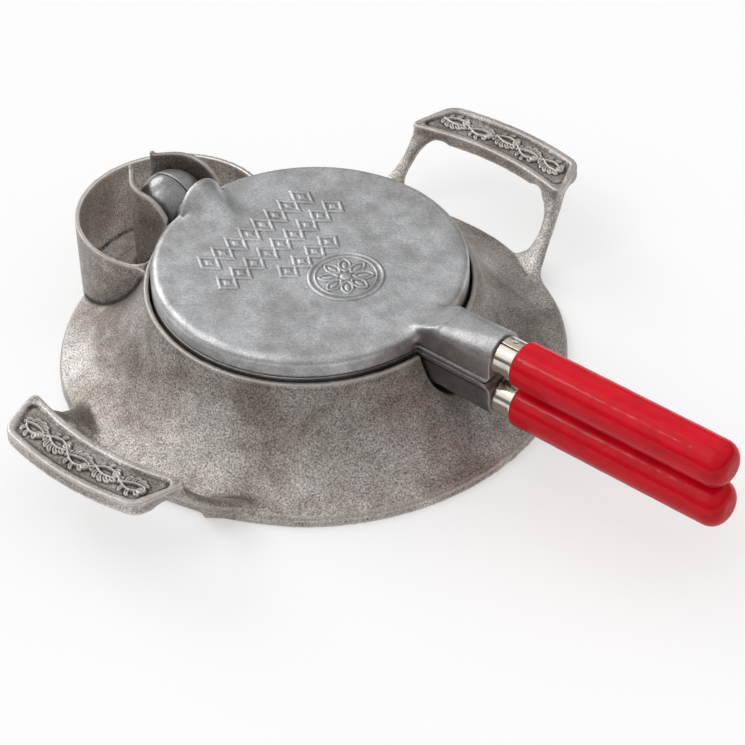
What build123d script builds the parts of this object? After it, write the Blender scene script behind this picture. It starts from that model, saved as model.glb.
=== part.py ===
from build123d import *
from math import hypot, sqrt
import os

# Krumkake iron: two hinged cast-aluminium plates that turn over in a cast stand.
#
# Frame, in millimetres: the origin is the centre of the stand's ring on the floor, +Z is up, and
# +X is the long axis, from the ball socket to the grips. The loop handles stand at -Y and +Y.

# ---- The iron's common lines ---------------------------------------------------------------
parting_height = 46.2  # floor to the plane where the two plates meet
seam_gap = 0.2  # between the two castings
ball_distance = 85.7  # plate centre to hinge ball
grip_offset = 10.9  # parting plane to each grip's axis

# ---- Plates --------------------------------------------------------------------------------
plate_radius = 72.0
plate_thickness = 9.6
plate_edge_round = 4.0
flat_distance = 17.4  # hinge axis to the flat across the plate's ball end
face_radius = 67.0  # cooking face inside the raised rim
face_depth = 0.6
face_flat_margin = 4.0  # cooking face to the flat
groove_width = 1.2
groove_depth = 0.5
ring_radii = (63.0, 41.0, 37.0, 14.0)
petal_count = 12
petal_inner, petal_outer = 17.0, 34.0
petal_half_width = 3.2
leaf_count = 18
leaf_inner, leaf_outer = 44.0, 60.0
leaf_half_width = 3.4

# ---- Half-balls, necks and the collar at the ball end ---------------------------------------
ball_radius = 16.2
ball_split_gap = 0.3  # between the two half-balls
trunnion_radius = 5.0
trunnion_reach = 7.0  # past the split plane
trunnion_end_gap = 1.0
trunnion_clearance = 0.06
neck_radius = 11.0
neck_overlap = 8.0  # how far the neck runs into its half-ball
lobe_height = 7.4  # parting plane to the lobe's axis
lobe_radius = 13.6
lobe_rim = 1.8  # width of the lobe's full-radius rim
lobe_length = 29.0
lobe_waist = 7.0  # the lobe's radius halfway along
lobe_end = 1.9  # and where it has run into the plate

# ---- Shanks --------------------------------------------------------------------------------
shank_radius = 10.5
shank_root = 59.5  # where it starts, inside the plate
shank_start = 82.0  # where the facet ends
shank_end = 111.0
shoulder_height = 17.0  # parting plane to the shank's top, where the facet ends
shoulder_round = 4.2
shoulder_step = 0.5  # down from the shoulder to the rest of the shank
crown_flat = 0.2  # level strip along the top of the shank's round end
flange_height = 2.4
flange_overhang = 0.7
facet_start = 65.5
shank_corner_round = 5.0

# ---- Ferrules, tangs, grips and brads --------------------------------------------------------
ferrule_radius = 9.0
ferrule_wall = 0.6
ferrule_length = 9.8
ferrule_seam = 0.5
ferrule_seam_angle = 18.0  # from the top, towards the side
fit_clearance = 0.05
tang_radius = 3.5
tang_in_shank = 20.0
tang_in_grip = 70.0
tang_chamfer = 0.7
grip_radius = 10.7
grip_length = 108.0
grip_tip_round = 7.0
grip_shoulder_round = 1.6
brad_angle = -12.0
brad_radius = 0.9
brad_head_radius = 1.7
brad_head_height = 0.5
brad_length = 5.0

# ---- Stand: ring, skirt and rim --------------------------------------------------------------
rim_radius = 117.2
rim_height = 4.2
rim_shoulder = 1.4  # the rim's chamfer, each way
skirt_radius = 62.4  # the hollow curve of the skirt, seen from the side
skin = 3.4  # casting thickness of the skirt
collar_height = 44.9
collar_straight = 2.0  # upright stretch at the collar's top
collar_wall = 2.4
plate_clearance = 1.2  # plate edge to the collar's bore
notch_clearance = 0.6  # flange to the notch's sides
notch_depth = 1.8  # notch's floor under the shank

# ---- Stand: ball cup, cheeks and seat --------------------------------------------------------
cup_distance = 86.0  # ring centre to cup centre
cup_radius = 45.9
cup_wall = 2.3
cup_height = 42.4
cup_floor = 4.0
cup_corner_round = 8.0
cheek_gap = 0.5  # half-ball to cheek
cheek_wall = 2.4
cheek_turn_gap = 0.9  # cheek's top to the opened plate's flat
cheek_bend = 45.0  # where each cheek leaves its arc, from the outboard long axis
horn_reach = 9.0  # straight run past the bend
horn_rise = 1.4  # above the cheek
horn_start = 17.9  # from the hinge axis, outboard
seat_gap = 0.3  # half-balls to their seat
seat_rise = 7.0  # seat's lip above the ball's lowest point
seat_neck_clearance = 1.0

# ---- Stand: loop handles ---------------------------------------------------------------------
handle_height = 37.3
handle_thickness = 6.8
handle_shift = -2.0  # both handles' middle, along X
loop_gap = 18.0  # rim to the bar
handle_width = 23.5
handle_half_inner, handle_half_outer = 47.2, 39.2
handle_corner_inner, handle_corner_outer = 3.0, 9.0
panel_margin = 3.4
panel_depth = 1.4
# Each leg's sections, from the floor up: height, as a share of the bar's underside; centre along the bar
# and out from the rim; width along the rim and depth; and turn about Z. The legs lean with the shifted bar
leg_sections = (
    (0.0, (43.8, -13.7), (27.0, 8.0), -38.0),
    (0.20, (43.5, -12.6), (26.0, 7.6), -38.0),
    (0.38, (45.0, -6.2), (11.5, 7.2), -30.0),
    (0.59, (43.8, 2.4), (7.2, 7.4), -14.0),
    (0.80, (42.6, 8.8), (7.6, 8.0), -10.0),
    (0.90, (41.6, 11.6), (8.8, 8.2), -11.0),
    (1.03, (39.4, 14.4), (12.4, 8.2), -12.0),
)

# ---- Worked-out values -----------------------------------------------------------------------
collar_inner = plate_radius + plate_clearance
collar_outer = collar_inner + collar_wall
ball_x = -ball_distance
flat_x = ball_x + flat_distance
cheek_inner = ball_radius + cheek_gap
cheek_middle = cheek_inner + cheek_wall / 2
cheek_height = parting_height + flat_distance - cheek_turn_gap
notch_half = shank_radius + flange_overhang + notch_clearance
seat_height = parting_height - ball_radius + seat_rise
handle_underside = handle_height - handle_thickness
handle_inner = rim_radius + loop_gap  # the bar's arcs, about the ring's centre
handle_outer = handle_inner + handle_width
ferrule_start = shank_end
grip_start = ferrule_start + ferrule_length
spigot_radius = ferrule_radius - ferrule_wall - fit_clearance
through = 400.0  # longer than anything it cuts

upper_frame = Plane((0, 0, parting_height), x_dir=(1, 0, 0), z_dir=(0, 0, 1))
lower_frame = Plane((0, 0, parting_height), x_dir=(1, 0, 0), z_dir=(0, 0, -1))


def local_plane(frame, plane):
    """The given plane, carried from the origin into a casting's own frame."""
    return Plane(frame.location * plane.location)


def arc_lens(inner, outer, half_width):
    """A leaf-shaped face along local +X, pointed at both ends."""
    middle = (inner + outer) / 2
    with BuildSketch(mode=Mode.PRIVATE) as leaf:
        with BuildLine():
            ThreePointArc((inner, 0), (middle, half_width), (outer, 0))
            ThreePointArc((outer, 0), (middle, -half_width), (inner, 0))
        make_face()
    return leaf.sketch


def shank_section(height, corner):
    """The shank's outline above the seam: upright sides and a top with rounded corners."""
    with BuildSketch(mode=Mode.PRIVATE) as section:
        Rectangle(2 * shank_radius, height, align=(Align.CENTER, Align.MIN))
        fillet(section.vertices().group_by(Axis.Y)[-1], corner)
    return section.sketch


def build_casting(frame, has_trunnion):
    """One plate with its lobe, half-ball and shank. The two castings differ only in the hinge's trunnion.

    In its own frame the casting lies above the parting plane, with its half-ball at -Y.
    """
    base = seam_gap / 2
    side = local_plane(frame, Plane.XZ)
    across = local_plane(frame, Plane.YZ)
    flat = local_plane(frame, Plane.XY)

    with BuildPart() as casting:
        # Plate, with a rounded outer edge and a flat across its ball end
        with BuildSketch(flat.offset(base)):
            Circle(plate_radius)
        extrude(amount=plate_thickness - base)
        top_face = casting.faces().sort_by(Axis(flat.origin, flat.z_dir))[-1]
        fillet(top_face.edges(), plate_edge_round)
        with BuildSketch(flat):
            with Locations((flat_x - plate_radius / 2, 0)):
                Rectangle(plate_radius, 2 * plate_radius)
        extrude(amount=through, mode=Mode.SUBTRACT)

        # Lobe: half a cone that runs out along the plate, with its rim at the flat
        lobe_plane = flat.offset(lobe_height)
        with BuildSketch(lobe_plane):
            with BuildLine():
                Polyline(
                    (flat_x + lobe_length, 0),
                    (flat_x, 0),
                    (flat_x, lobe_radius),
                    (flat_x + lobe_rim, lobe_radius),
                )
                Spline(
                    (flat_x + lobe_rim, lobe_radius),
                    (flat_x + lobe_length / 2, lobe_waist),
                    (flat_x + lobe_length, lobe_end),
                )
                Line((flat_x + lobe_length, lobe_end), (flat_x + lobe_length, 0))
            make_face()
        revolve(axis=Axis(lobe_plane.origin, lobe_plane.x_dir), revolution_arc=180)

        # Shank: it rises from a flat-topped shoulder to a half-round end, with a flange along the seam
        with BuildSketch(across.offset(shank_root)):
            add(shank_section(shoulder_height, shoulder_round))
        extrude(amount=shank_start - shank_root)
        with BuildSketch(across.offset(shank_start)):
            add(shank_section(shoulder_height - shoulder_step, shoulder_round))
        with BuildSketch(across.offset(shank_end)):
            add(shank_section(grip_offset + shank_radius, shank_radius - crown_flat / 2))
        loft()
        with BuildSketch(across.offset(shank_root)):
            Rectangle(2 * (shank_radius + flange_overhang), flange_height, align=(Align.CENTER, Align.MIN))
        extrude(amount=shank_end - shank_root)

        # Facet that slopes from the plate's top to the shank's shoulder
        with BuildSketch(side):
            with BuildLine():
                Polyline(
                    (0, plate_thickness),
                    (facet_start, plate_thickness),
                    (shank_start, shoulder_height),
                    (shank_start, through),
                    (0, through),
                    close=True,
                )
            make_face()
        extrude(amount=plate_radius, both=True, mode=Mode.SUBTRACT)

        # Rounded lower corner at the shank's end
        with BuildSketch(side):
            with Locations((shank_end - shank_corner_round, shank_corner_round + base)):
                Rectangle(2 * shank_corner_round, 2 * shank_corner_round, align=(Align.MIN, Align.MAX))
                Circle(shank_corner_round, mode=Mode.SUBTRACT)
        extrude(amount=plate_radius, both=True, mode=Mode.SUBTRACT)

        # Everything stays on its own side of the seam
        with BuildSketch(flat.offset(base)):
            Rectangle(through, through)
        extrude(amount=-through, mode=Mode.SUBTRACT)

        # Half-ball and its neck
        with Locations(local_plane(frame, Plane((ball_x, 0, 0)))):
            Sphere(ball_radius)
        with BuildSketch(local_plane(frame, Plane.XZ.offset(ball_split_gap / 2))):
            with Locations((ball_x, 0)):
                Rectangle(2 * cheek_inner, 4 * ball_radius)
        extrude(amount=-through, mode=Mode.SUBTRACT)
        with BuildSketch(across.offset(flat_x + lobe_rim)):
            with BuildLine():
                CenterArc((0, 0), neck_radius, 90, 90)
                Polyline((-neck_radius, 0), (0, 0), (0, neck_radius))
            make_face()
            with Locations((0, 0)):
                Rectangle(ball_split_gap, 4 * neck_radius, mode=Mode.SUBTRACT)
                Rectangle(4 * neck_radius, seam_gap, mode=Mode.SUBTRACT)
        extrude(amount=-(lobe_rim + neck_overlap))

        # Hinge: a trunnion on one half-ball turns in a blind bore in the other
        if has_trunnion:
            with BuildSketch(local_plane(frame, Plane.XZ.offset(ball_split_gap))):
                with Locations((ball_x, 0)):
                    Circle(trunnion_radius)
            extrude(amount=-(ball_split_gap + trunnion_reach))
        else:
            with BuildSketch(local_plane(frame, Plane.XZ)):
                with Locations((ball_x, 0)):
                    Circle(trunnion_radius + trunnion_clearance)
            extrude(amount=trunnion_reach + trunnion_end_gap, mode=Mode.SUBTRACT)

        # Cooking face: a sunk disc with engraved rings, a rosette and a wreath of leaves
        with BuildSketch(flat):
            Circle(face_radius)
            with Locations((flat_x - plate_radius / 2 + face_flat_margin, 0)):
                Rectangle(plate_radius, 2 * plate_radius, mode=Mode.SUBTRACT)
        extrude(amount=base + face_depth, mode=Mode.SUBTRACT)
        with BuildSketch(flat):
            for radius in ring_radii:
                Circle(radius + groove_width / 2)
                Circle(radius - groove_width / 2, mode=Mode.SUBTRACT)
            with PolarLocations(0, petal_count):
                add(arc_lens(petal_inner, petal_outer, petal_half_width))
            with PolarLocations(0, leaf_count):
                add(arc_lens(leaf_inner, leaf_outer, leaf_half_width))
        extrude(amount=base + face_depth + groove_depth, mode=Mode.SUBTRACT)

        # Bore for the tang
        with BuildSketch(across.offset(shank_end)):
            with Locations((0, grip_offset)):
                Circle(tang_radius + fit_clearance)
        extrude(amount=-(tang_in_shank + fit_clearance), mode=Mode.SUBTRACT)
    return casting


def arc_point(radius, x):
    """The point of an arc about the ring's centre, at the given x."""
    return (x, sqrt(radius**2 - x**2))


def skirt_height(radius, inset=0.0):
    """The skirt's height at a distance from the ring's axis, or that of a surface inside its skin."""
    top = (collar_outer, collar_height - collar_straight)
    foot = (rim_radius - rim_shoulder, rim_height + rim_shoulder)
    run, drop = foot[0] - top[0], top[1] - foot[1]
    chord = hypot(run, drop)
    sagitta_leg = sqrt(skirt_radius**2 - (chord / 2) ** 2)
    centre_x = (top[0] + foot[0]) / 2 + sagitta_leg * drop / chord
    centre_z = (top[1] + foot[1]) / 2 + sagitta_leg * run / chord
    return centre_z - sqrt((skirt_radius + inset) ** 2 - (centre_x - radius) ** 2)


def skirt_face(inner, outer, floor, ceiling, inset):
    """Half the stand's section, from the axis to the outer radius and up the curved skirt to the collar."""
    edge = outer - (rim_shoulder if inset == 0 else 0)
    middle = (inner + edge) / 2
    with BuildSketch(mode=Mode.PRIVATE) as profile:
        with BuildLine():
            shoulder = (edge, skirt_height(edge, inset))
            neck = (inner, skirt_height(inner, inset))
            if inset == 0:
                Polyline((0, ceiling), (0, floor), (outer, floor), (outer, rim_height), shoulder)
            else:
                Polyline((0, ceiling), (0, floor), (outer, floor), shoulder)
            ThreePointArc(shoulder, (middle, skirt_height(middle, inset)), neck)
            Polyline(neck, (inner, ceiling), (0, ceiling))
        make_face()
    return profile.sketch


def bar_face(margin=0.0):
    """The handle bar's outline, or one that lies inside it by a margin."""
    inner_radius, outer_radius = handle_inner + margin, handle_outer - margin
    inner_half, outer_half = handle_half_inner - margin, handle_half_outer - margin
    with BuildSketch(mode=Mode.PRIVATE) as bar:
        with BuildLine():
            inner = ThreePointArc(
                arc_point(inner_radius, -inner_half), (0, inner_radius), arc_point(inner_radius, inner_half)
            )
            outer = ThreePointArc(
                arc_point(outer_radius, -outer_half), (0, outer_radius), arc_point(outer_radius, outer_half)
            )
            Line(inner @ 0, outer @ 0)
            Line(inner @ 1, outer @ 1)
        make_face()
        fillet(bar.vertices().group_by(Axis.Y)[-1], handle_corner_outer - margin)
        fillet(bar.vertices().group_by(Axis.Y)[0], handle_corner_inner)
    return bar.sketch


# ---- Stand's loop handle: a curved bar with a sunk panel, on two legs that stand on the rim -------
with BuildPart() as handle:
    with BuildSketch(Plane.XY.offset(handle_underside)):
        with Locations((handle_shift, 0)):
            add(bar_face())
    extrude(amount=handle_thickness)
    with BuildSketch(Plane.XY.offset(handle_height)):
        with Locations((handle_shift, 0)):
            add(bar_face(panel_margin))
    extrude(amount=-panel_depth, mode=Mode.SUBTRACT)
    for side in (-1, 1):
        for share, (x, out), size, turn in leg_sections:
            with BuildSketch(Plane.XY.offset(share * handle_underside)):
                lean = handle_shift * share**2
                with Locations(Location((side * x + lean, rim_radius + out), side * turn)):
                    Rectangle(*size)
        loft(ruled=True)

# ---- Stand's cup: a round wall that runs into the collar, with rounded corners -------------------
def corner_edges(solid):
    """The upright edges where two round walls meet, and not the seam of a round wall."""
    return solid.edges().filter_by(Axis.Z).filter_by(lambda edge: abs(edge.center().Y) > cup_wall)


with BuildPart() as cup_hollow:
    with BuildSketch():
        with Locations((-cup_distance, 0)):
            Circle(cup_radius - cup_wall)
        Circle(collar_outer, mode=Mode.SUBTRACT)
    extrude(amount=cup_height)
    fillet(corner_edges(cup_hollow), cup_corner_round)

with BuildPart() as cup:
    with BuildSketch():
        Circle(collar_outer)
        with Locations((-cup_distance, 0)):
            Circle(cup_radius)
    extrude(amount=cup_height)
    fillet(corner_edges(cup), cup_corner_round)
    add(cup_hollow.part, mode=Mode.SUBTRACT)
    with BuildSketch():
        with Locations((-cup_distance, 0)):
            Circle(cup_radius - cup_wall / 2)
    extrude(amount=cup_floor)

# ---- Stand's cheeks in plan ----------------------------------------------------------------------
with BuildSketch() as cheek_plan:
    with BuildLine():
        straight = Line((-collar_inner + collar_wall, cheek_middle), (ball_x, cheek_middle))
        bend = CenterArc((ball_x, 0), cheek_middle, 90, 90 - cheek_bend)
        PolarLine(bend @ 1, horn_reach, direction=bend % 1)
    trace(line_width=cheek_wall)
    mirror(about=Plane.XZ)

# ---- Stand: one casting ----------------------------------------------------------------------
with BuildPart() as stand:
    # Skirt and collar, solid for now
    with BuildSketch(Plane.XZ):
        add(skirt_face(collar_outer, rim_radius, 0, collar_height, 0))
    revolve(axis=Axis.Z)

    # Cup
    add(cup.part)

    # Seat block under the ball, and the slot above it for the ball and the lower neck
    with BuildSketch() as seat_plan:
        with Locations((ball_x, 0)):
            Circle(cheek_middle)
            Rectangle(ball_distance, 2 * cheek_middle, align=(Align.MIN, Align.CENTER))
    extrude(amount=seat_height)
    with BuildSketch(Plane.XY.offset(seat_height)):
        with Locations((ball_x, 0)):
            Rectangle(ball_distance, 2 * cheek_inner, align=(Align.MIN, Align.CENTER))
    extrude(amount=through, mode=Mode.SUBTRACT)

    # Cheeks: low enough for the plate to turn over them, with a horn each as its stop
    with BuildSketch():
        add(cheek_plan.sketch)
    extrude(amount=cheek_height + horn_rise)
    with BuildSketch(Plane.XZ):
        with BuildLine():
            turn = CenterArc((ball_x, parting_height), flat_distance - cheek_turn_gap, 0, 90)
            Polyline(
                turn @ 1,
                (ball_x - horn_start, cheek_height),
                (ball_x - horn_start, through),
                (0, through),
                (0, parting_height),
                turn @ 0,
            )
        make_face()
    extrude(amount=2 * cheek_middle, both=True, mode=Mode.SUBTRACT)

    # Handles
    add(handle.part)
    add(mirror(handle.part, about=Plane.XZ))

    # Hollow under the skirt, and the bore for the lower plate
    with BuildSketch(Plane.XZ):
        add(skirt_face(collar_inner, rim_radius - skin, -1, through, skin))
    revolve(axis=Axis.Z, mode=Mode.SUBTRACT)

    # Ball's seat and the groove for its neck
    with Locations((ball_x, 0, parting_height)):
        Sphere(ball_radius + seat_gap, mode=Mode.SUBTRACT)
    with BuildSketch(Plane.YZ.offset(ball_x)):
        with Locations((0, parting_height)):
            Circle(neck_radius + seat_neck_clearance)
    extrude(amount=ball_distance, mode=Mode.SUBTRACT)

    # Notch where the shank lies
    notch_centre = parting_height - grip_offset - shank_radius - notch_depth + notch_half
    with BuildSketch(Plane.YZ):
        with Locations((0, notch_centre)):
            Circle(notch_half)
            Rectangle(2 * notch_half, through, align=(Align.CENTER, Align.MIN))
    extrude(amount=rim_radius, mode=Mode.SUBTRACT)

# ---- Plates ------------------------------------------------------------------------------------
lower_plate = build_casting(lower_frame, has_trunnion=True)
upper_plate = build_casting(upper_frame, has_trunnion=False)


def build_tang(frame):
    """The steel rod that joins a shank to its grip."""
    with BuildPart() as tang:
        with BuildSketch(local_plane(frame, Plane.YZ.offset(shank_end - tang_in_shank))):
            with Locations((0, grip_offset)):
                Circle(tang_radius)
        extrude(amount=tang_in_shank + ferrule_length + tang_in_grip)
        chamfer(tang.edges().filter_by(GeomType.CIRCLE), tang_chamfer)
    return tang


def brad_plane(frame, height):
    """The plane across a brad's axis, at a height above the grip's axis."""
    axis = Plane(frame.location * Location((grip_start - ferrule_length / 2, 0, grip_offset), (brad_angle, 0, 0)))
    return axis.offset(height)


def build_ferrule(frame):
    """A rolled sleeve with an open seam along it, and a hole for its brad."""
    with BuildPart() as ferrule:
        with BuildSketch(local_plane(frame, Plane.YZ.offset(ferrule_start))):
            with Locations((0, grip_offset)):
                Circle(ferrule_radius)
                Circle(ferrule_radius - ferrule_wall, mode=Mode.SUBTRACT)
            with Locations(Location((0, grip_offset), ferrule_seam_angle)):
                Rectangle(ferrule_seam, 2 * ferrule_radius, align=(Align.CENTER, Align.MIN), mode=Mode.SUBTRACT)
        extrude(amount=ferrule_length)
        with BuildSketch(brad_plane(frame, 0)):
            Circle(brad_radius + fit_clearance)
        extrude(amount=2 * ferrule_radius, mode=Mode.SUBTRACT)
    return ferrule


def build_grip(frame):
    """A turned wooden grip: a spigot for the ferrule, a plain barrel and a rounded end."""
    with BuildPart() as grip:
        with BuildSketch(local_plane(frame, Plane.YZ.offset(ferrule_start + fit_clearance))):
            with Locations((0, grip_offset)):
                Circle(spigot_radius)
        extrude(amount=ferrule_length)
        with BuildSketch(local_plane(frame, Plane.YZ.offset(grip_start + fit_clearance))):
            with Locations((0, grip_offset)):
                Circle(grip_radius)
        extrude(amount=grip_length - fit_clearance)
        along = Axis((0, 0, 0), (1, 0, 0))
        rings = grip.edges().filter_by(GeomType.CIRCLE).filter_by(lambda edge: edge.radius > ferrule_radius)
        fillet(rings.sort_by(along)[-1], grip_tip_round)
        rings = grip.edges().filter_by(GeomType.CIRCLE).filter_by(lambda edge: edge.radius > ferrule_radius)
        fillet(rings.sort_by(along)[0], grip_shoulder_round)
        with BuildSketch(local_plane(frame, Plane.YZ.offset(ferrule_start))):
            with Locations((0, grip_offset)):
                Circle(tang_radius + fit_clearance)
        extrude(amount=ferrule_length + tang_in_grip + fit_clearance, mode=Mode.SUBTRACT)
        with BuildSketch(brad_plane(frame, ferrule_radius - brad_length)):
            Circle(brad_radius + fit_clearance)
        extrude(amount=2 * ferrule_radius, mode=Mode.SUBTRACT)
    return grip


def build_brad(frame):
    """A small domed nail through the ferrule into the grip's spigot."""
    head_seat = ferrule_radius + fit_clearance
    sphere_radius = (brad_head_radius**2 + brad_head_height**2) / (2 * brad_head_height)
    with BuildPart() as brad:
        with BuildSketch(brad_plane(frame, ferrule_radius - brad_length + fit_clearance)):
            Circle(brad_radius)
        extrude(amount=brad_length)
        with BuildSketch(brad_plane(frame, head_seat)):
            Circle(brad_head_radius)
        extrude(amount=brad_head_height)
        with Locations(brad_plane(frame, head_seat + brad_head_height - sphere_radius)):
            Sphere(sphere_radius, mode=Mode.INTERSECT)
    return brad


# ---- Export --------------------------------------------------------------------------------------
pieces = {"stand": stand, "lower_plate": lower_plate, "upper_plate": upper_plate}
for position, frame in (("lower", lower_frame), ("upper", upper_frame)):
    pieces[f"{position}_tang"] = build_tang(frame)
    pieces[f"{position}_ferrule"] = build_ferrule(frame)
    pieces[f"{position}_grip"] = build_grip(frame)
    pieces[f"{position}_brad"] = build_brad(frame)

os.makedirs("parts", exist_ok=True)
for label, piece in pieces.items():
    piece.part.label = label
    export_step(piece.part, f"parts/{label}.step")
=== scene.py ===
import bpy
import bmesh
import math
import numpy as np
from mathutils import Matrix, Vector


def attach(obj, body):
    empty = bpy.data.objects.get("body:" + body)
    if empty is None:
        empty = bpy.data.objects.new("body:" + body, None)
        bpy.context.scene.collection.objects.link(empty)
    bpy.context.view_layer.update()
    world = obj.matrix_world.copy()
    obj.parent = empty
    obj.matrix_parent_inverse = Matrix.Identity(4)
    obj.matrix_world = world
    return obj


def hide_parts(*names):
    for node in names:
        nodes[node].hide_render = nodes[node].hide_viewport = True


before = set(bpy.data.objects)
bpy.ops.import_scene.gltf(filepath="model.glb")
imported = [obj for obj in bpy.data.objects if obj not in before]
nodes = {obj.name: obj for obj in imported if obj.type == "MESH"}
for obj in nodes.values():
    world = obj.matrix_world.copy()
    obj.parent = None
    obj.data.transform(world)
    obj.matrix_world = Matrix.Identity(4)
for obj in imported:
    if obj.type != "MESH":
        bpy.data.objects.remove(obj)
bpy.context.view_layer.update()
MM = 0.001

# ---- The part's own sizes, in mm -------------------------------------------------------------
PARTING = 46.2  # floor to the plane where the plates meet
GRIP_Z = 10.9  # parting plane to each grip's axis
BALL_X, BALL_R = -85.7, 16.2
FLAT_X = -68.3  # the flat across a plate's ball end
PLATE_THICKNESS = 9.6
SHANK_END = 111.0
FERRULE_R, FERRULE_WALL = 9.0, 0.6
GRIP_START = 120.8
GRIP_R, GRIP_LENGTH = 10.7, 108.0
SPIGOT_R = 8.35
CUP_X, CUP_R = -86.0, 45.9
RIM_R = 117.2
HANDLE_X = -2.0  # both handles' middle
LEG_FOOT = (43.6, 105.0)  # middle of each leg's foot, as distances from the ring's centre
LEG_TOP = (39.4, 131.6)  # and of its top, as distances from the handle's middle
PANEL_RADIUS = 146.95  # middle of a handle's sunk panel
PANEL_FLOOR = 35.9
PANEL_HALF_WIDTH = 8.2
PANEL_HALF_LENGTH = 39.5
FERRULE_SEAM = {1: 18.0, -1: 198.0}  # degrees off the top, on the upper and the lower ferrule

# ---- How fine the meshes are: voxels in mm, and steps round a turned piece -------------------
STAND_VOXEL, PLATE_VOXEL, QUICK_VOXEL = 0.55, 0.45, 0.9
TURNED_STEPS = 96


# ---- Mesh helpers ----------------------------------------------------------------------------
def new_object(name, verts, faces, smooth=True):
    """A mesh object of the given points, in metres."""
    mesh = bpy.data.meshes.new(name)
    mesh.from_pydata([tuple(v) for v in verts], [], [tuple(f) for f in faces])
    mesh.validate()
    mesh.update()
    mesh.polygons.foreach_set("use_smooth", [smooth] * len(mesh.polygons))
    ob = bpy.data.objects.new(name, mesh)
    bpy.context.scene.collection.objects.link(ob)
    return ob


def apply_modifiers(ob):
    """Puts the modifiers' result in the object's own mesh."""
    graph = bpy.context.evaluated_depsgraph_get()
    graph.update()
    mesh = bpy.data.meshes.new_from_object(ob.evaluated_get(graph), depsgraph=graph)
    old = ob.data
    ob.modifiers.clear()
    ob.data = mesh
    bpy.data.meshes.remove(old)


def read(collection, field, width=3, kind=float):
    values = np.zeros(len(collection) * width, kind)
    collection.foreach_get(field, values)
    return values.reshape(-1, width)


def set_coords(ob, co):
    ob.data.vertices.foreach_set("co", co.astype(np.float32).ravel())
    ob.data.update()


class Net:
    """A mesh's vertices, in mm, and how they join, to smooth them or values that lie on them."""

    def __init__(self, ob):
        self.ob = ob
        self.co = read(ob.data.vertices, "co") / MM
        self.edges = read(ob.data.edges, "vertices", 2, np.int64)
        self.count = np.maximum(np.bincount(self.edges.ravel(), minlength=len(self.co)), 1)

    def normals(self):
        return read(self.ob.data.vertices, "normal")

    def mean(self, values):
        """Each vertex's mean over the vertices it joins."""
        a, b = self.edges.T
        size = len(values)
        return (np.bincount(a, values[b], size) + np.bincount(b, values[a], size)) / self.count

    def smoothed(self, rounds, factor=0.5):
        co = self.co.copy()
        for _ in range(rounds):
            co += factor * (np.stack([self.mean(co[:, k]) for k in range(3)], axis=1) - co)
        return co

    def move(self, co):
        self.co = co
        set_coords(self.ob, co * MM)

    def blend(self, weight, rounds):
        """Smooths the places whose weight is above 0."""
        a, b = self.edges[(weight[self.edges] > 0).any(axis=1)].T
        ids, place = np.unique(np.concatenate([a, b]), return_inverse=True)
        a, b = place[: len(a)], place[len(a) :]
        size = len(ids)
        count = np.maximum(np.bincount(place, minlength=size), 1)
        co, share = self.co[ids], 0.5 * weight[ids]
        for _ in range(rounds):
            for k in range(3):
                total = np.bincount(a, co[b, k], size) + np.bincount(b, co[a, k], size)
                co[:, k] += share * (total / count - co[:, k])
        moved = self.co.copy()
        moved[ids] = co
        self.move(moved)


def wave_noise(co, scale, seed):
    """Smooth 3-D noise in about -1..1, as a sum of sines, at a feature size in mm."""
    rng = np.random.default_rng(seed)
    out = np.zeros(len(co))
    for _ in range(14):
        direction = rng.normal(size=3)
        direction /= np.linalg.norm(direction)
        turns = 2 * math.pi / scale * rng.uniform(0.6, 1.5)
        out += np.sin(co @ direction * turns + rng.uniform(0, 2 * math.pi))
    return out / 5.0


def ramp_between(values, low, high):
    """0 up to the low value and 1 from the high one."""
    t = np.clip((values - low) / (high - low), 0, 1)
    return t * t * (3 - 2 * t)


def fades(values, start, end):
    """1 up to the start and 0 from the end."""
    return ramp_between(-values, -end, -start)


def refine(ob, chosen):
    """Divides each side of the faces whose centres are chosen in two."""
    centres = read(ob.data.polygons, "center") / MM
    facing = read(ob.data.polygons, "normal")
    mask = chosen(centres, facing)
    bm = bmesh.new()
    bm.from_mesh(ob.data)
    bm.faces.ensure_lookup_table()
    edges = {e for i in np.nonzero(mask)[0] for e in bm.faces[i].edges}
    bmesh.ops.subdivide_edges(bm, edges=sorted(edges, key=lambda e: e.index), cuts=1, use_grid_fill=True)
    bm.to_mesh(ob.data)
    bm.free()


# ---- Relief: the plates' border and rosette, and the handles' foliage --------------------------
def stroke(distance, width, height, side=0.55):
    """The height of a flat-topped ridge with sloping sides, at a distance from its middle line."""
    return height * ramp_between(width / 2 - distance, -side / 2, side / 2)


LOZENGE_ROWS = (  # x of the row, y of its ends, how many, half-height
    (-32.6, -35.5, 36.5, 8, 6.6),
    (-16.6, -41.0, 40.0, 9, 5.9),
    (-0.9, -18.0, 18.6, 4, 5.6),
)
LOZENGE_LINE, LOZENGE_CORE = 1.35, 0.36
ROSETTE_X = 21.6
ROSETTE_RINGS = ((16.6, 1.3), (13.9, 0.8))  # radius and width
PETALS, PETAL_INNER, PETAL_OUTER, PETAL_HALF_WIDTH = 8, 3.6, 12.4, 2.55
BOSS_R = 2.7
RELIEF = 0.62
MOTIF_X, MOTIF_HALF_Y = (-41, 40), 43  # a box that holds the whole motif


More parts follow.
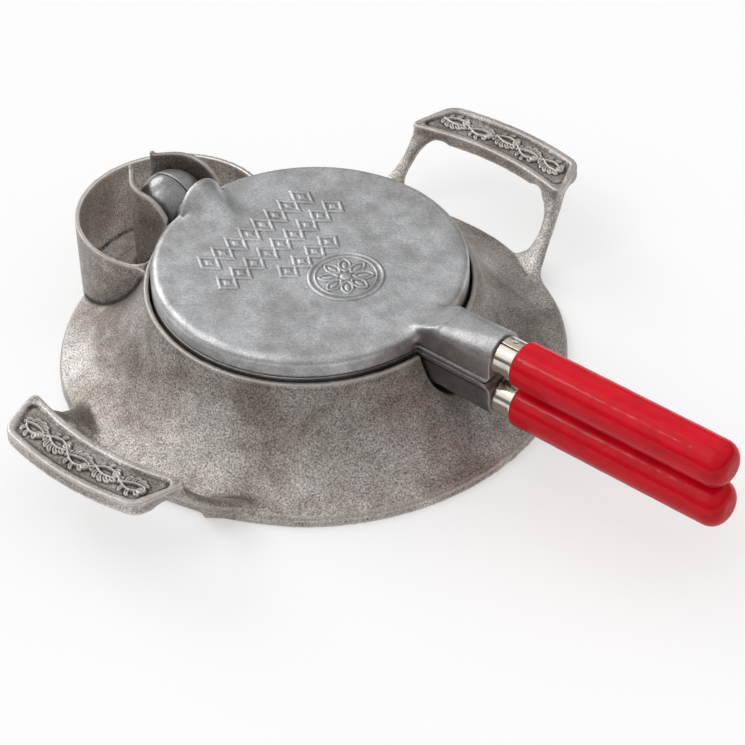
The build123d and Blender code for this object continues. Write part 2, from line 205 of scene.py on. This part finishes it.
def plate_motif(x, y):
    """Three rows of lozenges and a rosette of petals, on a plate's outer face."""
    h = np.zeros_like(x)
    for row_x, first, last, count, half in LOZENGE_ROWS:
        step = (last - first) / count
        k = np.clip(np.floor((y - first) / step), 0, count - 1)
        along = np.abs(y - first - (k + 0.5) * step) / (step / 2)
        reach = along + np.abs(x - row_x) / half
        slope = math.hypot(2 / step, 1 / half)
        h = np.maximum(h, stroke(np.abs(reach - 1) / slope, LOZENGE_LINE, RELIEF))
        h = np.maximum(h, stroke((reach - LOZENGE_CORE) / slope, 0, RELIEF))
    dx = x - ROSETTE_X
    r = np.hypot(dx, y)
    for radius, width in ROSETTE_RINGS:
        h = np.maximum(h, stroke(np.abs(r - radius), width, RELIEF))
    length, half = PETAL_OUTER - PETAL_INNER, PETAL_HALF_WIDTH
    middle, bulge = (PETAL_INNER + PETAL_OUTER) / 2, (length**2 / 4 + half**2) / (2 * half)
    turn = 2 * math.pi / PETALS
    angle = np.abs((np.arctan2(y, dx) + turn / 2) % turn - turn / 2)
    p, q = r * np.cos(angle) - middle, r * np.sin(angle)
    petal = np.hypot(p, q + bulge - half) - bulge
    h = np.maximum(h, stroke(np.abs(petal), 0.95, RELIEF, 0.45))
    h = np.maximum(h, stroke(petal + 1.6, 0, RELIEF * 0.7, 0.45))
    return np.maximum(h, np.sqrt(np.clip(1 - (r / BOSS_R) ** 2, 0, 1)) * RELIEF * 1.2)


HALF_WAVE, WAVE = 14.6, 3.4  # the stem's half wavelength and its swing
STEM_HALF_LENGTH, STEM_HALF_WIDTH = 35.5, 0.6
SCROLL_HEIGHT, VEIN_DEPTH, VEIN_SHARE = 1.3, 0.95, 0.4
# Leaves: where each starts, as a share of its rib or as a distance along the stem; length; heading in degrees
LOBES = ((0.04, 3.3, 118), (0.25, 4.4, 104), (0.46, 4.7, 88), (0.67, 4.2, 68), (0.88, 3.2, 44))
BUDS = ((-3.6, 2.9, 128), (-0.6, 3.3, 100), (2.6, 2.7, 66))
LOBE_HALF_WIDTH, BUD_HALF_WIDTH = 1.2, 1.0
LEAF_CURL = 72  # degrees it turns from root to tip


def lobe(root_u, root_v, side, length, heading, width):
    """A comma-shaped leaf that curls forward from its root."""
    t = np.linspace(0, 1, 9)
    angle = np.radians(heading - LEAF_CURL * t**1.4)
    u = root_u + np.cumsum(np.cos(angle)) * length / len(t)
    v = root_v + side * np.cumsum(np.sin(angle)) * length / len(t)
    return np.stack([u, v, width * np.sin(math.pi * (0.2 + 0.66 * t)) ** 0.7], axis=1), True


def foliage():
    """Strokes of a running leaf scroll, and whether each is a leaf.

    A stroke is a row of points: the distances along and across the panel's middle line, and the half-width.
    """
    def stem_v(u):
        return -WAVE * np.cos(math.pi * u / HALF_WAVE)

    u = np.linspace(-STEM_HALF_LENGTH, STEM_HALF_LENGTH, 90)
    strokes = [(np.stack([u, stem_v(u), np.full_like(u, STEM_HALF_WIDTH)], axis=1), False)]
    t = np.linspace(0, 1, 9)
    for k in range(-2, 3):
        side = 1 if k % 2 == 0 else -1
        rib_u = k * HALF_WAVE - 6.8 + 11.6 * t
        rib_v = side * (-2.4 + 3.5 * np.sin(math.pi * (0.08 + 0.62 * t)))
        strokes.append((np.stack([rib_u, rib_v, STEM_HALF_WIDTH - 0.1 * t], axis=1), False))
        turn = np.linspace(0, 1, 16)
        angle = side * (math.pi / 2 - 2.7 * math.pi * turn)
        radius = 2.2 - 1.7 * turn
        eye_u, eye_v = rib_u[-1] - 0.3, rib_v[-1] - side * 2.1
        volute = [eye_u + radius * np.cos(angle), eye_v + radius * np.sin(angle), 0.52 + 0.3 * turn]
        strokes.append((np.stack(volute, axis=1), False))
        for at, length, heading in LOBES:
            root_u, root_v = np.interp(at, t, rib_u), np.interp(at, t, rib_v)
            strokes.append(lobe(root_u, root_v, side, length, heading, LOBE_HALF_WIDTH))
        for along, length, heading in BUDS:
            root_u = k * HALF_WAVE + along
            strokes.append(lobe(root_u, stem_v(root_u), -side, length, heading, BUD_HALF_WIDTH))
    return strokes


def foliage_height(u, v):
    """Rounded strokes; the leaves have a hollow along the middle."""
    h = np.zeros_like(u)
    for points, leaf in foliage():
        near = np.full_like(u, 9.0)  # distance from the stroke's middle line, in half-widths
        for (u0, v0, w0), (u1, v1, w1) in zip(points[:-1], points[1:]):
            du, dv = u1 - u0, v1 - v0
            f = np.clip(((u - u0) * du + (v - v0) * dv) / (du * du + dv * dv), 0, 1)
            q = np.hypot(u - u0 - f * du, v - v0 - f * dv) / (w0 + f * (w1 - w0))
            near = np.minimum(near, q)
        top = SCROLL_HEIGHT * np.sqrt(np.clip(1 - near**2, 0, 1))
        if leaf:
            top -= VEIN_DEPTH * np.exp(-((near / VEIN_SHARE) ** 2)) * (near < 1)
        h = np.maximum(h, top)
    return h


def handle_place(co):
    """Distances along and across the nearer handle's panel."""
    x = co[:, 0] - HANDLE_X
    r = np.maximum(np.hypot(x, co[:, 1]), 1)
    return PANEL_RADIUS * np.arcsin(x / r), PANEL_RADIUS - r


def on_panel(co, normal):
    """Which places lie on the floor of a handle's sunk panel."""
    u, v = handle_place(co)
    inside = (np.abs(u) < PANEL_HALF_LENGTH) & (np.abs(v) < PANEL_HALF_WIDTH)
    return inside & (np.abs(co[:, 2] - PANEL_FLOOR) < 0.35) & (normal[:, 2] > 0.8)


# ---- Castings --------------------------------------------------------------------------------
def even_copy(name, replaced, voxel):
    """The casting, built again from its solid as a fine even mesh with soft edges."""
    ob = bpy.data.objects.new(name, nodes[replaced].data.copy())
    bpy.context.scene.collection.objects.link(ob)
    m = ob.modifiers.new("remesh", "REMESH")
    m.mode = "VOXEL"
    m.voxel_size = voxel * MM
    m.adaptivity = 0
    apply_modifiers(ob)
    net = Net(ob)
    net.move(net.smoothed(2))
    return ob


def own(co, side):
    """A plate's own coordinates: its parting plane at 0 and its outer face upward."""
    return co[:, 0], side * co[:, 1], side * (co[:, 2] - PARTING)


def finish_casting(ob, rough, light_and_shade):
    """Uneven sand-cast surface, and the attribute that tells rubbed edges from hollows: the edges get a
    painted highlight as well as rubbing, the hollows get painted shade.

    The painted light and shade is added to that attribute, above 0 for painted light and below for painted
    shade.
    """
    net = Net(ob)
    n = net.normals()
    uneven = 0.05 * wave_noise(net.co, 9, 3) + 0.03 * wave_noise(net.co, 3.2, 5)
    net.move(net.co + n * (rough * uneven)[:, None])
    moved = np.einsum("ij,ij->i", net.co - net.smoothed(10, 0.8), n)
    for _ in range(2):
        moved = 0.4 * moved + 0.6 * net.mean(moved)
    # Above 0.5 on convex edges, which get a painted highlight besides rubbing; below it in hollows, which get
    # painted shade.
    put(ob, "edge", np.clip(0.5 + moved / 0.7 + light_and_shade, 0, 1))
    ob.data.polygons.foreach_set("use_smooth", [True] * len(ob.data.polygons))


def put(ob, name, values):
    """Keeps one value for each vertex, for the materials to read."""
    ob.data.attributes.new(name, "FLOAT", "POINT").data.foreach_set("value", values.astype(np.float32))


def soften_legs(ob):
    """Fillets where the handles' legs stand on the skirt, meet the rim and run under the bar."""
    net = Net(ob)
    x, y, z = net.co.T
    from_foot = np.hypot(np.abs(x) - LEG_FOOT[0], np.abs(y) - LEG_FOOT[1])
    net.blend(fades(from_foot, 17, 23) * ramp_between(z, 3.6, 5.6), 40)
    x, y, z = net.co.T
    rim_edge = ramp_between(np.hypot(x, y), 109, 113)
    net.blend(fades(from_foot, 14, 32) * rim_edge, 110)
    net.move(np.column_stack([net.co[:, :2], z]))  # in plan only, with the heights as they were
    x, y, z = net.co.T
    from_top = np.hypot(np.abs(x - HANDLE_X) - LEG_TOP[0], np.abs(y) - LEG_TOP[1])
    under_bar = ramp_between(z, 18, 24) * fades(z, 33.6, 35.6)
    net.blend(fades(from_top, 10, 15) * under_bar, 90)


def cast_stand():
    """The stand, with foliage on its handles and a rough floor in its cup, a painted highlight on the
    foliage's crests, painted shade on the panel's floor, painted light inside the cup, and its paler places
    marked.
    """
    ob = even_copy("stand_casting", "stand", STAND_VOXEL)
    soften_legs(ob)
    refine(ob, on_panel)
    net = Net(ob)
    x, y, z = net.co.T
    u, v = handle_place(net.co)
    panel = on_panel(net.co, net.normals())
    scroll = np.zeros(len(net.co))
    scroll[panel] = foliage_height(u[panel], v[panel])
    from_cup, from_middle, from_ball = np.hypot(x - CUP_X, y), np.hypot(x, y), np.hypot(x - BALL_X, y)
    cup_floor = fades(from_cup, CUP_R - 5, CUP_R - 2) * fades(z, 16, 24)
    cup_floor *= ramp_between(net.normals()[:, 2], 0.3, 0.6)
    co = net.co.copy()
    co[:, 2] += scroll + cup_floor * (0.09 * wave_noise(net.co, 1.8, 11) + 0.12 * wave_noise(net.co, 7, 12))
    net.move(co)
    # Painted highlight on the foliage's crests and painted shade on the panel's floor between the strokes.
    ground_shade, crest_highlight = panel * (1 - ramp_between(scroll, 0.1, 0.7)), panel * ramp_between(scroll, 0.5, 1.1)
    # Painted light inside the cup, less near the ball.
    cup_painted_light = fades(from_cup, CUP_R - 1.8, CUP_R - 1.0) * fades(z, 40, 62)
    cup_painted_light *= ramp_between(-x, 66, 72) * (0.3 + 0.7 * ramp_between(from_ball, 20.5, 24))
    finish_casting(ob, 1.0, 0.2 * crest_highlight - 0.1 * ground_shade + 0.12 * cup_painted_light)
    skirt_foot, handles = ramp_between(from_middle, 98, 116), ramp_between(np.abs(y), 119, 126)
    # Paler: painted light inside the cup, and a paler tone on the skirt's foot and on the handles.
    put(ob, "pale", np.maximum(cup_painted_light, np.maximum(0.22 * skirt_foot, 0.3 * handles)))
    return ob


def cast_plate(name, replaced, side):
    """A plate, with its lobe and shank run into it, its motif raised, its polished half-ball marked (also to
    be darkened as painted shade), and painted shade marked on its shank, its downward faces and the lower
    plate.

    The side is 1 for the upper plate and -1 for the lower.
    """
    ob = even_copy(name, replaced, PLATE_VOXEL)

    def near_motif(co, normal):
        x, y, z = own(co, side)
        outer = (np.abs(z - PLATE_THICKNESS) < 0.3) & (side * normal[:, 2] > 0.9)
        return outer & (x > MOTIF_X[0]) & (x < MOTIF_X[1]) & (np.abs(y) < MOTIF_HALF_Y)

    net = Net(ob)
    x, y, z = own(net.co, side)
    inside = fades(np.abs(y), 19, 24)
    lobe_end = ramp_between(x, FLAT_X + 2.2, FLAT_X + 6) * fades(x, FLAT_X + 34, FLAT_X + 40)
    shank_root = ramp_between(x, 50, 56) * fades(x, 71, 79)
    net.blend(lobe_end * inside * ramp_between(z, 8.2, 9.2), 220)
    net.blend(shank_root * inside * ramp_between(z, 3.2, 5), 110)
    refine(ob, near_motif)
    net = Net(ob)
    x, y, z = own(net.co, side)
    co = net.co.copy()
    co[:, 2] += side * np.where(near_motif(net.co, net.normals()), plate_motif(x, y), 0)
    net.move(co)
    upward = side * net.normals()[:, 2]
    cooking_face = fades(np.hypot(x, y), 70, 71.5) * ramp_between(-upward, 0.3, 0.8)
    # Painted shade: a dark line along the gap between the plates, and darker on the lower plate's shank.
    seam = fades(np.abs(z), 0.55, 1.0) * ramp_between(x, 40, 60) * fades(np.abs(upward), 0.6, 0.9)
    on_shank = ramp_between(x, 56, 70) * (1 - cooking_face)
    finish_casting(ob, 0.7, -0.6 * seam - 0.13 * (side < 0) * on_shank)
    from_ball = np.hypot(np.hypot(x - BALL_X, y), z)
    # The polished half-ball: smoother, and darkened in the material as painted shade.
    put(ob, "polish_and_shade", fades(from_ball, BALL_R + 0.3, BALL_R + 0.8) * (side > 0))
    # Painted shade: the shank darker except on its upward faces, downward faces darker, and the lower plate
    # darker, most on its shank.
    shank = ramp_between(x, 56, 76) * (1 - cooking_face) * (1 - 0.75 * ramp_between(upward, 0.2, 0.9))
    below = (0.3 + 0.6 * on_shank) * (side < 0)
    put(ob, "painted_shade", np.clip(shank + 0.35 * ramp_between(-upward, -0.6, 0.3) + below, 0, 1))
    return ob


stand = cast_stand()
upper = cast_plate("upper_plate_casting", "upper_plate", 1)
lower = cast_plate("lower_plate_casting", "lower_plate", -1)
for ob, replaced, body, slot in (
    (stand, "stand", "stand", "stand_casting"),
    (upper, "upper_plate", "upper_iron", "plate_casting"),
    (lower, "lower_plate", "lower_iron", "plate_casting"),
):
    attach(ob, body)
    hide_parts(replaced)


# ---- Turned grips and rolled ferrules ----------------------------------------------------------
def lathe(name, profile, centre_z, start=0.0, sweep=360.0):
    """Turns an (x, radius) profile, in mm, about a line parallel to X, from an angle off the top."""
    full = sweep == 360.0
    count = TURNED_STEPS if full else TURNED_STEPS + 1
    verts, faces = [], []
    for i in range(count):
        a = math.radians(start + sweep * i / TURNED_STEPS)
        for x, r in profile:
            verts.append((x * MM, -r * math.sin(a) * MM, (centre_z + r * math.cos(a)) * MM))
    n = len(profile)
    for i in range(TURNED_STEPS):
        j = (i + 1) % count
        for k in range(n - 1):
            faces.append((i * n + k, j * n + k, j * n + k + 1, i * n + k + 1))
    if not full:
        faces.append(tuple(range(n - 1)))
        faces.append(tuple((count - 1) * n + k for k in reversed(range(n - 1))))
    ob = new_object(name, verts, faces)
    bm = bmesh.new()
    bm.from_mesh(ob.data)
    bmesh.ops.remove_doubles(bm, verts=bm.verts, dist=1e-7)
    bmesh.ops.recalc_face_normals(bm, faces=bm.faces)
    bm.to_mesh(ob.data)
    bm.free()
    return ob


def grip_profile():
    """Spigot, rounded shoulder, barrel with faint turning marks, and domed end."""
    x0, x1 = GRIP_START + 0.06, GRIP_START + GRIP_LENGTH
    centre, shoulder, dome, chamfer = 0.02, 1.5, 7.5, 0.3
    barrel_r = GRIP_R - 0.06
    spigot_start = SHANK_END + 0.1
    points = [(spigot_start, centre), (spigot_start, SPIGOT_R - chamfer), (spigot_start + chamfer, SPIGOT_R)]
    points += [(x0 - 0.02, SPIGOT_R), (x0, SPIGOT_R + 0.02), (x0, GRIP_R - shoulder - 0.05)]
    for i in range(1, 8):
        a = math.pi / 2 * i / 7
        points.append((x0 + shoulder * (1 - math.cos(a)), GRIP_R - shoulder - 0.05 + shoulder * math.sin(a)))
    run = x1 - dome - x0 - shoulder
    for i in range(1, 60):
        t = i / 60
        r = barrel_r + 0.025 * math.sin(31 * t) + 0.02 * math.sin(83 * t)
        points.append((x0 + shoulder + run * t, r))
    for i in range(14):
        a = math.pi / 2 * i / 14
        points.append((x1 - dome + dome * math.sin(a) ** 1.05, 3.4 + 7.2 * math.cos(a)))
    return points + [(x1 - 0.01 * r, r) for r in (3.2, 2.4, 1.5, 0.6, centre)]


def ferrule(name, centre_z, seam):
    """A rolled sleeve with rounded ends and an open seam at an angle off the top."""
    x0, x1, outer, lip, ease, seam_gap = SHANK_END, GRIP_START, FERRULE_R, 0.3, 0.09, 0.5
    inner = outer - FERRULE_WALL
    profile = [(x0, inner), (x0, outer - lip), (x0 + ease, outer - ease), (x0 + lip, outer)]
    for i in range(1, 12):
        hollow = 0.05 * math.sin(math.pi * i / 12)
        profile.append((x0 + lip + (x1 - x0 - 2 * lip) * i / 12, outer - hollow))
    profile += [(x1 - lip, outer), (x1 - ease, outer - ease), (x1, outer - lip), (x1, inner), (x0, inner)]
    half_gap = math.degrees(seam_gap / 2 / outer)
    return lathe(name, profile, centre_z, seam + half_gap, 360 - 2 * half_gap)


grips, ferrules = [], []
for position, side, body in (("lower", -1, "lower_iron"), ("upper", 1, "upper_iron")):
    centre_z = PARTING + side * GRIP_Z
    grip = lathe(position + "_grip_turned", grip_profile(), centre_z)
    sleeve = ferrule(position + "_ferrule_rolled", centre_z, FERRULE_SEAM[side])
    for ob, replaced, slot in ((grip, "_grip", "lacquered_wood"), (sleeve, "_ferrule", "nickelled_ferrule")):
        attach(ob, body)
        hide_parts(position + replaced)
    grips.append(grip)
    ferrules.append(sleeve)


# ---- Materials -------------------------------------------------------------------------------
def material(name):
    """A new material, with its node tree and its shader."""
    m = bpy.data.materials.new(name)
    m.use_nodes = True
    tree = m.node_tree
    tree.nodes.clear()
    out = tree.nodes.new("ShaderNodeOutputMaterial")
    shader = tree.nodes.new("ShaderNodeBsdfPrincipled")
    tree.links.new(shader.outputs[0], out.inputs[0])
    return m, tree, shader


def feed(tree, socket, value):
    """Links another node's output to a socket, or sets its plain value or colour."""
    if isinstance(value, bpy.types.NodeSocket):
        tree.links.new(value, socket)
    elif isinstance(value, tuple) and socket.type == "RGBA":
        socket.default_value = (*value, 1)
    else:
        socket.default_value = value


def node(tree, kind, inputs=None, **properties):
    """A new node, with its inputs fed by name or number."""
    n = tree.nodes.new(kind)
    for key, value in properties.items():
        setattr(n, key, value)
    for key, value in (inputs or {}).items():
        feed(tree, n.inputs[key], value)
    return n


def noise(tree, vector, scale, detail=4.0, rough=0.55, distort=0.0):
    inputs = {"Vector": vector, "Scale": scale, "Detail": detail, "Roughness": rough, "Distortion": distort}
    return node(tree, "ShaderNodeTexNoise", inputs).outputs[0]


def ramp(tree, factor, stops):
    """A colour ramp, of (position, colour or grey) stops."""
    r = tree.nodes.new("ShaderNodeValToRGB")
    while len(r.color_ramp.elements) < len(stops):
        r.color_ramp.elements.new(0.5)
    for element, (position, c) in zip(r.color_ramp.elements, stops):
        element.position = position
        element.color = (*c, 1) if isinstance(c, tuple) else (c, c, c, 1)
    tree.links.new(factor, r.inputs[0])
    return r.outputs[0]


def mix(tree, factor, a, b, blend="MIX"):
    m = node(tree, "ShaderNodeMix", data_type="RGBA", blend_type=blend)
    for socket, value in zip((m.inputs[0], m.inputs[6], m.inputs[7]), (factor, a, b)):
        feed(tree, socket, value)
    return m.outputs[2]


def maths(tree, operation, a, b=0.0):
    m = node(tree, "ShaderNodeMath", operation=operation)
    feed(tree, m.inputs[0], a)
    feed(tree, m.inputs[1], b)
    return m.outputs[0]


def attribute(tree, name):
    return node(tree, "ShaderNodeAttribute", attribute_name=name).outputs["Fac"]


def object_place(tree):
    return node(tree, "ShaderNodeTexCoord").outputs["Object"]


def stretched(tree, scale):
    """The place on the object, scaled along each axis."""
    return node(tree, "ShaderNodeMapping", {"Vector": object_place(tree), "Scale": scale}).outputs[0]


def bump(tree, height, distance, below=None):
    """A normal from a height, with its distance in mm, on top of the normal below."""
    inputs = {"Strength": 1.0, "Distance": distance * MM, "Height": height}
    if below is not None:
        inputs["Normal"] = below
    return node(tree, "ShaderNodeBump", inputs).outputs[0]


# Tints: painted shade; a paler tone, which inside the stand's cup is painted light; painted shade on the
# polished half-ball.
PAINTED_SHADE_TINT, PALE_TINT, POLISH_SHADE_TINT = (0.50, 0.455, 0.43), (2.0, 2.06, 2.12), (0.50, 0.495, 0.49)
POLISH_ROUGHNESS = 0.27


def cast_material(name, colours, patch, blotch, speckle, roughness, grain, metallic, wear_and_highlight):
    """Sand-cast aluminium: broad patches, mottling, sand grain, edges made bright partly by rubbing and
    partly as a painted highlight, and painted shade in the hollows.

    The colours are the light, the middle and the dark patches. The castings' attributes tell rubbed edges
    from hollows, where painted shade goes, where the surface is paler (painted light inside the stand's cup,
    a paler tone elsewhere) and where it is polished and darkened as painted shade.
    """
    light, mid, dark = colours
    m, tree, shader = material(name)
    vector = object_place(tree)
    edge, painted_shade, pale, polish_and_shade = (attribute(tree, key) for key in ("edge", "painted_shade", "pale", "polish_and_shade"))
    broad = noise(tree, vector, patch, 4.0, 0.55, 0.5)
    medium = noise(tree, vector, 120.0, 6.0, 0.66, 0.2)
    fine = noise(tree, vector, 1250.0, 3.0, 0.62)
    sand = noise(tree, vector, 2300.0, 2.0, 0.6)
    # Rubbed edges get a painted highlight besides their rubbing; hollows get painted shade.
    worn_and_highlight = ramp(tree, edge, [(0.56, 0.0), (0.82, 1.0)])
    hollow = ramp(tree, edge, [(0.22, 1.0), (0.47, 0.0)])
    bright, black = tuple(min(1.0, 1.3 * c) for c in light), tuple(0.12 * c for c in dark)

    def tinted(colour, share, tint):
        return mix(tree, share, colour, mix(tree, 1.0, colour, tint, "MULTIPLY"))

    colour = ramp(tree, broad, [(0.38, dark), (0.5, mid), (0.62, light)])
    for pattern, depth in ((medium, blotch), (fine, speckle)):
        spots = ramp(tree, pattern, [(0.34, 1 - depth), (0.5, 1.0), (0.66, 1 + depth)])
        colour = mix(tree, 1.0, colour, spots, "MULTIPLY")
    # Painted highlight on the rubbed edges.
    colour = mix(tree, maths(tree, "MULTIPLY", worn_and_highlight, wear_and_highlight), colour, bright)
    # Painted shade: a darker, warmer tint.
    colour = tinted(colour, painted_shade, PAINTED_SHADE_TINT)
    # Painted shade in the hollows, near black.
    colour = mix(tree, maths(tree, "MULTIPLY", hollow, 0.92), colour, black)
    # Painted light inside the stand's cup; a paler tone on its skirt's foot and handles.
    colour = tinted(colour, pale, PALE_TINT)
    # Painted shade on the polished half-ball.
    colour = tinted(colour, polish_and_shade, POLISH_SHADE_TINT)
    tree.links.new(colour, shader.inputs["Base Color"])
    shader.inputs["Metallic"].default_value = metallic
    rough = ramp(tree, medium, [(0.3, roughness + 0.07), (0.7, roughness - 0.07)])
    rough = mix(tree, maths(tree, "MULTIPLY", worn_and_highlight, 0.6), rough, (roughness - 0.14,) * 3)
    rough = mix(tree, polish_and_shade, rough, (POLISH_ROUGHNESS,) * 3)
    tree.links.new(rough, shader.inputs["Roughness"])
    height = maths(tree, "ADD", maths(tree, "MULTIPLY", fine, 0.55), maths(tree, "MULTIPLY", sand, 0.45))
    unpolished = maths(tree, "SUBTRACT", 1.0, maths(tree, "MULTIPLY", polish_and_shade, 0.8))
    height = maths(tree, "MULTIPLY", height, unpolished)
    normal = bump(tree, medium, 0.16, bump(tree, height, grain))
    tree.links.new(normal, shader.inputs["Normal"])
    return m


LACQUER_DEEP, LACQUER_MID, LACQUER_LIGHT = (0.62, 0.003, 0.012), (0.76, 0.004, 0.017), (0.86, 0.007, 0.024)
LACQUER_CLOUD = (0.68, 0.003, 0.016)
WOOD_DARK, WOOD_LIGHT = (0.05, 0.03, 0.018), (0.14, 0.085, 0.05)


def lacquer_material():
    """Deep red gloss lacquer, a little uneven over the wood's grain."""
    m, tree, shader = material("red_lacquer")
    along = stretched(tree, (0.3, 1.0, 1.0))
    grain = noise(tree, along, 260.0, 4.0, 0.55)
    broad = noise(tree, object_place(tree), 32.0, 2.0, 0.5)
    colour = ramp(tree, grain, [(0.3, LACQUER_DEEP), (0.55, LACQUER_MID), (0.75, LACQUER_LIGHT)])
    colour = mix(tree, ramp(tree, broad, [(0.4, 0.0), (0.7, 0.4)]), colour, LACQUER_CLOUD)
    tree.links.new(colour, shader.inputs["Base Color"])
    shader.inputs["Roughness"].default_value = 0.4
    shader.inputs["Specular IOR Level"].default_value = 0.05
    shader.inputs["Coat Weight"].default_value = 0.3
    shader.inputs["Coat Roughness"].default_value = 0.08
    normal = bump(tree, noise(tree, along, 420.0, 3.0, 0.5, 0.3), 0.07)
    tree.links.new(normal, shader.inputs["Normal"])
    tree.links.new(normal, shader.inputs["Coat Normal"])
    return m


def bare_wood_material():
    """Dark unlacquered wood of the spigot inside the ferrule."""
    m, tree, shader = material("bare_wood")
    grain = noise(tree, stretched(tree, (0.1, 1.0, 1.0)), 700.0, 5.0, 0.6)
    colour = ramp(tree, grain, [(0.3, WOOD_DARK), (0.7, WOOD_LIGHT)])
    tree.links.new(colour, shader.inputs["Base Color"])
    shader.inputs["Roughness"].default_value = 0.75
    tree.links.new(bump(tree, grain, 0.1), shader.inputs["Normal"])
    return m


def plated_material(name, colour, roughness):
    """Bright plate with fine lines round the sleeve and faint smudges."""
    m, tree, shader = material(name)
    smudge = noise(tree, object_place(tree), 160.0, 4.0, 0.6)
    dull = ramp(tree, smudge, [(0.4, 0.0), (0.75, 0.5)])
    smudged = mix(tree, dull, colour, tuple(0.7 * c for c in colour))
    tree.links.new(smudged, shader.inputs["Base Color"])
    shader.inputs["Metallic"].default_value = 1.0
    rough = ramp(tree, smudge, [(0.3, roughness), (0.75, roughness + 0.12)])
    tree.links.new(rough, shader.inputs["Roughness"])
    lines = noise(tree, stretched(tree, (1.0, 0.08, 0.08)), 2600.0, 3.0, 0.6)
    tree.links.new(bump(tree, lines, 0.012), shader.inputs["Normal"])
    return m


def give(ob, *materials):
    ob.data.materials.clear()
    for m in materials:
        ob.data.materials.append(m)


stand_mat = cast_material(
    "stand_cast_aluminium", ((0.43, 0.40, 0.375), (0.34, 0.305, 0.275), (0.255, 0.22, 0.195)),
    patch=34, blotch=0.1, speckle=0.6, roughness=0.46, grain=0.24, metallic=0.8, wear_and_highlight=0.6,
)
plate_mat = cast_material(
    "plate_cast_aluminium", ((0.59, 0.595, 0.605), (0.525, 0.53, 0.54), (0.455, 0.455, 0.46)),
    patch=60, blotch=0.15, speckle=0.2, roughness=0.42, grain=0.18, metallic=0.9, wear_and_highlight=0.2,
)
red_mat, wood_mat = lacquer_material(), bare_wood_material()
nickel_mat = plated_material("bright_nickel", (0.76, 0.69, 0.60), 0.1)
steel_mat = plated_material("drawn_steel", (0.52, 0.52, 0.53), 0.3)
give(stand, stand_mat)
give(upper, plate_mat)
give(lower, plate_mat)
for ob in grips:
    give(ob, red_mat, wood_mat)
    x = read(ob.data.polygons, "center")[:, 0] / MM
    ob.data.polygons.foreach_set("material_index", (x < GRIP_START).astype(np.int32))
for ob in ferrules:
    give(ob, nickel_mat)
for position in ("lower", "upper"):
    give(nodes[position + "_tang"], steel_mat)
    give(nodes[position + "_brad"], nickel_mat)


# ---- Floor, light and camera -------------------------------------------------------------------
FLOOR_HALF_SIZE = 20  # m
corners = [(sx * FLOOR_HALF_SIZE, sy * FLOOR_HALF_SIZE, 0) for sx, sy in ((-1, -1), (1, -1), (1, 1), (-1, 1))]
floor = new_object("floor", corners, [(0, 1, 2, 3)], smooth=False)
floor_mat, tree, shader = material("pale_floor")
shader.inputs["Base Color"].default_value = (0.62, 0.62, 0.62, 1)
shader.inputs["Roughness"].default_value = 0.9
shader.inputs["Specular IOR Level"].default_value = 0.0
shader.inputs["Emission Color"].default_value = (1, 1, 1, 1)
# The floor glows only where it is seen, directly, in a mirror or through glass, and not under the stand.
path = node(tree, "ShaderNodeLightPath").outputs
seen = maths(tree, "MAXIMUM", path["Is Camera Ray"], path["Is Glossy Ray"])
seen = maths(tree, "MAXIMUM", seen, path["Is Transmission Ray"])
reach = node(tree, "ShaderNodeVectorMath", {0: object_place(tree)}, operation="LENGTH").outputs["Value"]
outside = ramp(tree, maths(tree, "SUBTRACT", reach, RIM_R * MM - 0.004), [(0.0, 0.0), (0.004, 1.0)])
glow = maths(tree, "MULTIPLY", maths(tree, "MULTIPLY", seen, outside), 0.44)
tree.links.new(glow, shader.inputs["Emission Strength"])
give(floor, floor_mat)

SKY = (  # share of the way from straight down to straight up, and grey
    (0.0, 0.05), (0.5, 0.10), (0.575, 0.15), (0.675, 0.42), (0.8, 0.66), (0.92, 0.68), (1.0, 0.82),
)
world = bpy.data.worlds.new("studio")
bpy.context.scene.world = world
world.use_nodes = True
tree = world.node_tree
tree.nodes.clear()
direction = node(tree, "ShaderNodeTexCoord").outputs["Generated"]
height = node(tree, "ShaderNodeSeparateXYZ", {"Vector": direction}).outputs[2]
height = maths(tree, "ADD", maths(tree, "MULTIPLY", height, 0.5), 0.5)
background = node(tree, "ShaderNodeBackground", {"Color": ramp(tree, height, SKY), "Strength": 1.0})
out = tree.nodes.new("ShaderNodeOutputWorld")
tree.links.new(background.outputs[0], out.inputs[0])


def sun(name, direction, strength, angle):
    """A sun that shines from a direction, with its angle across in degrees."""
    data = bpy.data.lights.new(name, "SUN")
    data.energy = strength
    data.angle = math.radians(angle)
    ob = bpy.data.objects.new(name, data)
    bpy.context.scene.collection.objects.link(ob)
    ob.rotation_mode = "QUATERNION"
    ob.rotation_quaternion = Vector(direction).to_track_quat("Z", "Y")


KEY_FROM, SIDE_FROM = (-0.47, -0.50, 0.72), (-0.88, 0.12, 0.45)
sun("key", KEY_FROM, 0.5, 60)
sun("strip", KEY_FROM, 0.1, 9)
sun("side", SIDE_FROM, 0.8, 34)

CAMERA_AT = (0.6485, -0.6996, 0.7990)
CAMERA_ANGLES = (41.22, 40.42, -1.72)  # azimuth, elevation and roll, in degrees
FOCAL_LENGTH, FRAME_WIDTH = 2685.33, 745  # in pixels
camera_data = bpy.data.cameras.new("camera")
camera = bpy.data.objects.new("camera", camera_data)
bpy.context.scene.collection.objects.link(camera)
bpy.context.scene.camera = camera
camera_data.sensor_width = 36.0
camera_data.lens = FOCAL_LENGTH / FRAME_WIDTH * camera_data.sensor_width
camera_data.clip_start, camera_data.clip_end = 0.05, 60.0
azimuth, elevation, roll = (math.radians(a) for a in CAMERA_ANGLES)
level = math.cos(elevation)
back = Vector((math.sin(azimuth) * level, -math.cos(azimuth) * level, math.sin(elevation)))
right = Vector((math.cos(azimuth), math.sin(azimuth), 0))
up = back.cross(right)
axes = (right * math.cos(roll) + up * math.sin(roll), -right * math.sin(roll) + up * math.cos(roll), back)
camera.matrix_world = Matrix.Translation(CAMERA_AT) @ Matrix(axes).transposed().to_4x4()

bpy.context.scene.view_settings.view_transform = "Standard"
